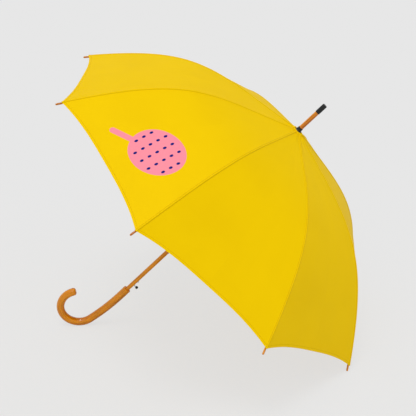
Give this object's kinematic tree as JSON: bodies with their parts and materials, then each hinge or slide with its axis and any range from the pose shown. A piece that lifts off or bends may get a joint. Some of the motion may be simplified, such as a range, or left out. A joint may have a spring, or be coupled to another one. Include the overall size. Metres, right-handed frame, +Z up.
{
  "type": "children's umbrella",
  "caption": "Small open stick umbrella with a domed cloth canopy, folding steel ribs, a sliding runner with spring catches, wooden rib tips, a wooden shaft and a crook handle.",
  "frame": {"origin": "on the floor, under the middle of the open umbrella's bounding box, as it lies on two rib tips and its crook", "axes": "+Z up; +X the way the ferrule points, seen from above; +Y across, along the longest extent. The shaft lies in the XZ plane and rises towards +X."},
  "size_m": [0.6466, 0.8102, 0.5838],
  "materials": {
    "cloth": "matte",
    "varnished_wood": "satin",
    "black_plastic": "gloss",
    "zinc_plated_steel": "satin"
  },
  "bodies": {
    "frame": {"shaft": "varnished_wood", "handle": "varnished_wood", "ferrule_cap": "black_plastic", "crown_cap": "black_plastic", "crown_notch": "black_plastic", "crown_wire": "zinc_plated_steel", "runner_stop_pin": "zinc_plated_steel"},
    "rib_inner_1": {"rib_inner_1": "zinc_plated_steel", "canopy_inner_1": "cloth"},
    "rib_outer_1": {"rib_outer_1": "zinc_plated_steel", "tip_1": "varnished_wood", "canopy_outer_1": "cloth"},
    "stretcher_1": {"stretcher_1": "zinc_plated_steel"},
    "rib_inner_2": {"rib_inner_2": "zinc_plated_steel", "canopy_inner_2": "cloth"},
    "rib_outer_2": {"rib_outer_2": "zinc_plated_steel", "tip_2": "varnished_wood", "canopy_outer_2": "cloth"},
    "stretcher_2": {"stretcher_2": "zinc_plated_steel"},
    "rib_inner_3": {"rib_inner_3": "zinc_plated_steel", "canopy_inner_3": "cloth"},
    "rib_outer_3": {"rib_outer_3": "zinc_plated_steel", "tip_3": "varnished_wood", "canopy_outer_3": "cloth"},
    "stretcher_3": {"stretcher_3": "zinc_plated_steel"},
    "rib_inner_4": {"rib_inner_4": "zinc_plated_steel", "canopy_inner_4": "cloth"},
    "rib_outer_4": {"rib_outer_4": "zinc_plated_steel", "tip_4": "varnished_wood", "canopy_outer_4": "cloth"},
    "stretcher_4": {"stretcher_4": "zinc_plated_steel"},
    "rib_inner_5": {"rib_inner_5": "zinc_plated_steel", "canopy_inner_5": "cloth"},
    "rib_outer_5": {"rib_outer_5": "zinc_plated_steel", "tip_5": "varnished_wood", "canopy_outer_5": "cloth"},
    "stretcher_5": {"stretcher_5": "zinc_plated_steel"},
    "rib_inner_6": {"rib_inner_6": "zinc_plated_steel", "canopy_inner_6": "cloth"},
    "rib_outer_6": {"rib_outer_6": "zinc_plated_steel", "tip_6": "varnished_wood", "canopy_outer_6": "cloth"},
    "stretcher_6": {"stretcher_6": "zinc_plated_steel"},
    "rib_inner_7": {"rib_inner_7": "zinc_plated_steel", "canopy_inner_7": "cloth"},
    "rib_outer_7": {"rib_outer_7": "zinc_plated_steel", "tip_7": "varnished_wood", "canopy_outer_7": "cloth"},
    "stretcher_7": {"stretcher_7": "zinc_plated_steel"},
    "rib_inner_8": {"rib_inner_8": "zinc_plated_steel", "canopy_inner_8": "cloth"},
    "rib_outer_8": {"rib_outer_8": "zinc_plated_steel", "tip_8": "varnished_wood", "canopy_outer_8": "cloth"},
    "stretcher_8": {"stretcher_8": "zinc_plated_steel"},
    "runner": {"runner": "black_plastic", "runner_wire": "zinc_plated_steel"},
    "upper_catch": {"upper_catch": "zinc_plated_steel"},
    "lower_catch": {"lower_catch": "zinc_plated_steel", "release_button": "black_plastic"}
  },
  "joints": [
    {"name": "rib_1_fold", "type": "hinge", "parent": "frame", "child": "rib_inner_1", "pos_m": [0.1937, 0.00344, 0.45195], "axis": [-0.2748, 0.9239, 0.2663], "range_deg": [0, 70.32], "deforming": ["canopy_inner_1"]},
    {"name": "rib_2_fold", "type": "hinge", "parent": "frame", "child": "rib_inner_2", "pos_m": [0.1902, 0.00831, 0.45534], "axis": [-0.6635, 0.3827, 0.6429], "range_deg": [0, 70.32], "deforming": ["canopy_inner_2"]},
    {"name": "rib_3_fold", "type": "hinge", "parent": "frame", "child": "rib_inner_3", "pos_m": [0.18525, 0.00831, 0.46014], "axis": [-0.6635, -0.3827, 0.6429], "range_deg": [0, 70.32], "deforming": ["canopy_inner_3"]},
    {"name": "rib_4_fold", "type": "hinge", "parent": "frame", "child": "rib_inner_4", "pos_m": [0.18175, 0.00344, 0.46353], "axis": [-0.2748, -0.9239, 0.2663], "range_deg": [0, 70.32], "deforming": ["canopy_inner_4"]},
    {"name": "rib_5_fold", "type": "hinge", "parent": "frame", "child": "rib_inner_5", "pos_m": [0.18175, -0.00344, 0.46353], "axis": [0.2748, -0.9239, -0.2663], "range_deg": [0, 70.32], "deforming": ["canopy_inner_5"]},
    {"name": "rib_6_fold", "type": "hinge", "parent": "frame", "child": "rib_inner_6", "pos_m": [0.18525, -0.00831, 0.46014], "axis": [0.6635, -0.3827, -0.6429], "range_deg": [0, 70.32], "deforming": ["canopy_inner_6"]},
    {"name": "rib_7_fold", "type": "hinge", "parent": "frame", "child": "rib_inner_7", "pos_m": [0.1902, -0.00831, 0.45534], "axis": [0.6635, 0.3827, -0.6429], "range_deg": [0, 70.32], "deforming": ["canopy_inner_7"]},
    {"name": "rib_8_fold", "type": "hinge", "parent": "frame", "child": "rib_inner_8", "pos_m": [0.1937, -0.00344, 0.45195], "axis": [0.2748, 0.9239, -0.2663], "range_deg": [0, 70.32], "deforming": ["canopy_inner_8"]},
    {"name": "rib_1_bend", "type": "hinge", "parent": "rib_inner_1", "child": "rib_outer_1", "pos_m": [0.30511, 0.08937, 0.26884], "axis": [-0.2748, 0.9239, 0.2663], "range_deg": [-20.13, 0], "deforming": ["canopy_outer_1"]},
    {"name": "rib_2_bend", "type": "hinge", "parent": "rib_inner_2", "child": "rib_outer_2", "pos_m": [0.21434, 0.21575, 0.35678], "axis": [-0.6635, 0.3827, 0.6429], "range_deg": [-20.13, 0], "deforming": ["canopy_outer_2"]},
    {"name": "rib_3_bend", "type": "hinge", "parent": "rib_inner_3", "child": "rib_outer_3", "pos_m": [0.08597, 0.21575, 0.48115], "axis": [-0.6635, -0.3827, 0.6429], "range_deg": [-20.13, 0], "deforming": ["canopy_outer_3"]},
    {"name": "rib_4_bend", "type": "hinge", "parent": "rib_inner_4", "child": "rib_outer_4", "pos_m": [-0.0048, 0.08937, 0.56909], "axis": [-0.2748, -0.9239, 0.2663], "range_deg": [-20.13, 0], "deforming": ["canopy_outer_4"]},
    {"name": "rib_5_bend", "type": "hinge", "parent": "rib_inner_5", "child": "rib_outer_5", "pos_m": [-0.0048, -0.08937, 0.56909], "axis": [0.2748, -0.9239, -0.2663], "range_deg": [-20.13, 0], "deforming": ["canopy_outer_5"]},
    {"name": "rib_6_bend", "type": "hinge", "parent": "rib_inner_6", "child": "rib_outer_6", "pos_m": [0.08597, -0.21575, 0.48115], "axis": [0.6635, -0.3827, -0.6429], "range_deg": [-20.13, 0], "deforming": ["canopy_outer_6"]},
    {"name": "rib_7_bend", "type": "hinge", "parent": "rib_inner_7", "child": "rib_outer_7", "pos_m": [0.21434, -0.21575, 0.35678], "axis": [0.6635, 0.3827, -0.6429], "range_deg": [-20.13, 0], "deforming": ["canopy_outer_7"]},
    {"name": "rib_8_bend", "type": "hinge", "parent": "rib_inner_8", "child": "rib_outer_8", "pos_m": [0.30511, -0.08937, 0.26884], "axis": [0.2748, 0.9239, -0.2663], "range_deg": [-20.13, 0], "deforming": ["canopy_outer_8"]},
    {"name": "stretcher_1_pivot", "type": "hinge", "parent": "rib_inner_1", "child": "stretcher_1", "pos_m": [0.29618, 0.08592, 0.27157], "axis": [-0.2748, 0.9239, 0.2663], "range_deg": [-140.69, 0]},
    {"name": "stretcher_2_pivot", "type": "hinge", "parent": "rib_inner_2", "child": "stretcher_2", "pos_m": [0.20891, 0.20743, 0.35612], "axis": [-0.6635, 0.3827, 0.6429], "range_deg": [-140.69, 0]},
    {"name": "stretcher_3_pivot", "type": "hinge", "parent": "rib_inner_3", "child": "stretcher_3", "pos_m": [0.08549, 0.20743, 0.4757], "axis": [-0.6635, -0.3827, 0.6429], "range_deg": [-140.69, 0]},
    {"name": "stretcher_4_pivot", "type": "hinge", "parent": "rib_inner_4", "child": "stretcher_4", "pos_m": [-0.00178, 0.08592, 0.56025], "axis": [-0.2748, -0.9239, 0.2663], "range_deg": [-140.69, 0]},
    {"name": "stretcher_5_pivot", "type": "hinge", "parent": "rib_inner_5", "child": "stretcher_5", "pos_m": [-0.00178, -0.08592, 0.56025], "axis": [0.2748, -0.9239, -0.2663], "range_deg": [-140.69, 0]},
    {"name": "stretcher_6_pivot", "type": "hinge", "parent": "rib_inner_6", "child": "stretcher_6", "pos_m": [0.08549, -0.20743, 0.4757], "axis": [0.6635, -0.3827, -0.6429], "range_deg": [-140.69, 0]},
    {"name": "stretcher_7_pivot", "type": "hinge", "parent": "rib_inner_7", "child": "stretcher_7", "pos_m": [0.20891, -0.20743, 0.35612], "axis": [0.6635, 0.3827, -0.6429], "range_deg": [-140.69, 0]},
    {"name": "stretcher_8_pivot", "type": "hinge", "parent": "rib_inner_8", "child": "stretcher_8", "pos_m": [0.29618, -0.08592, 0.27157], "axis": [0.2748, 0.9239, -0.2663], "range_deg": [-140.69, 0]},
    {"name": "runner_pivot", "type": "hinge", "parent": "stretcher_1", "child": "runner", "pos_m": [0.11264, 0.00344, 0.36829], "axis": [-0.2748, 0.9239, 0.2663], "range_deg": [0, 70.37]},
    {"name": "lower_catch_press", "type": "hinge", "parent": "frame", "child": "lower_catch", "pos_m": [-0.13223, 0, 0.12405], "axis": [0, 1, 0], "range_deg": [0, 5.5], "stiffness_Nm_per_rad": 1.5},
    {"name": "upper_catch_press", "type": "hinge", "parent": "frame", "child": "upper_catch", "pos_m": [0.0567, 0, 0.31905], "axis": [0, -1, 0], "range_deg": [0, 5.5], "stiffness_Nm_per_rad": 1.5}
  ],
  "couplings": [
    {"joint": "rib_2_fold", "follows": "rib_1_fold", "ratio": 1},
    {"joint": "rib_3_fold", "follows": "rib_1_fold", "ratio": 1},
    {"joint": "rib_4_fold", "follows": "rib_1_fold", "ratio": 1},
    {"joint": "rib_5_fold", "follows": "rib_1_fold", "ratio": 1},
    {"joint": "rib_6_fold", "follows": "rib_1_fold", "ratio": 1},
    {"joint": "rib_7_fold", "follows": "rib_1_fold", "ratio": 1},
    {"joint": "rib_8_fold", "follows": "rib_1_fold", "ratio": 1},
    {"joint": "rib_1_bend", "follows": "rib_1_fold", "ratio": -0.2855},
    {"joint": "rib_2_bend", "follows": "rib_1_fold", "ratio": -0.2855},
    {"joint": "rib_3_bend", "follows": "rib_1_fold", "ratio": -0.2855},
    {"joint": "rib_4_bend", "follows": "rib_1_fold", "ratio": -0.2855},
    {"joint": "rib_5_bend", "follows": "rib_1_fold", "ratio": -0.2855},
    {"joint": "rib_6_bend", "follows": "rib_1_fold", "ratio": -0.2855},
    {"joint": "rib_7_bend", "follows": "rib_1_fold", "ratio": -0.2855},
    {"joint": "rib_8_bend", "follows": "rib_1_fold", "ratio": -0.2855},
    {"joint": "stretcher_1_pivot", "follows": "rib_1_fold", "ratio": -2},
    {"joint": "stretcher_2_pivot", "follows": "rib_1_fold", "ratio": -2},
    {"joint": "stretcher_3_pivot", "follows": "rib_1_fold", "ratio": -2},
    {"joint": "stretcher_4_pivot", "follows": "rib_1_fold", "ratio": -2},
    {"joint": "stretcher_5_pivot", "follows": "rib_1_fold", "ratio": -2},
    {"joint": "stretcher_6_pivot", "follows": "rib_1_fold", "ratio": -2},
    {"joint": "stretcher_7_pivot", "follows": "rib_1_fold", "ratio": -2},
    {"joint": "stretcher_8_pivot", "follows": "rib_1_fold", "ratio": -2},
    {"joint": "runner_pivot", "follows": "rib_1_fold", "ratio": 1}
  ]
}
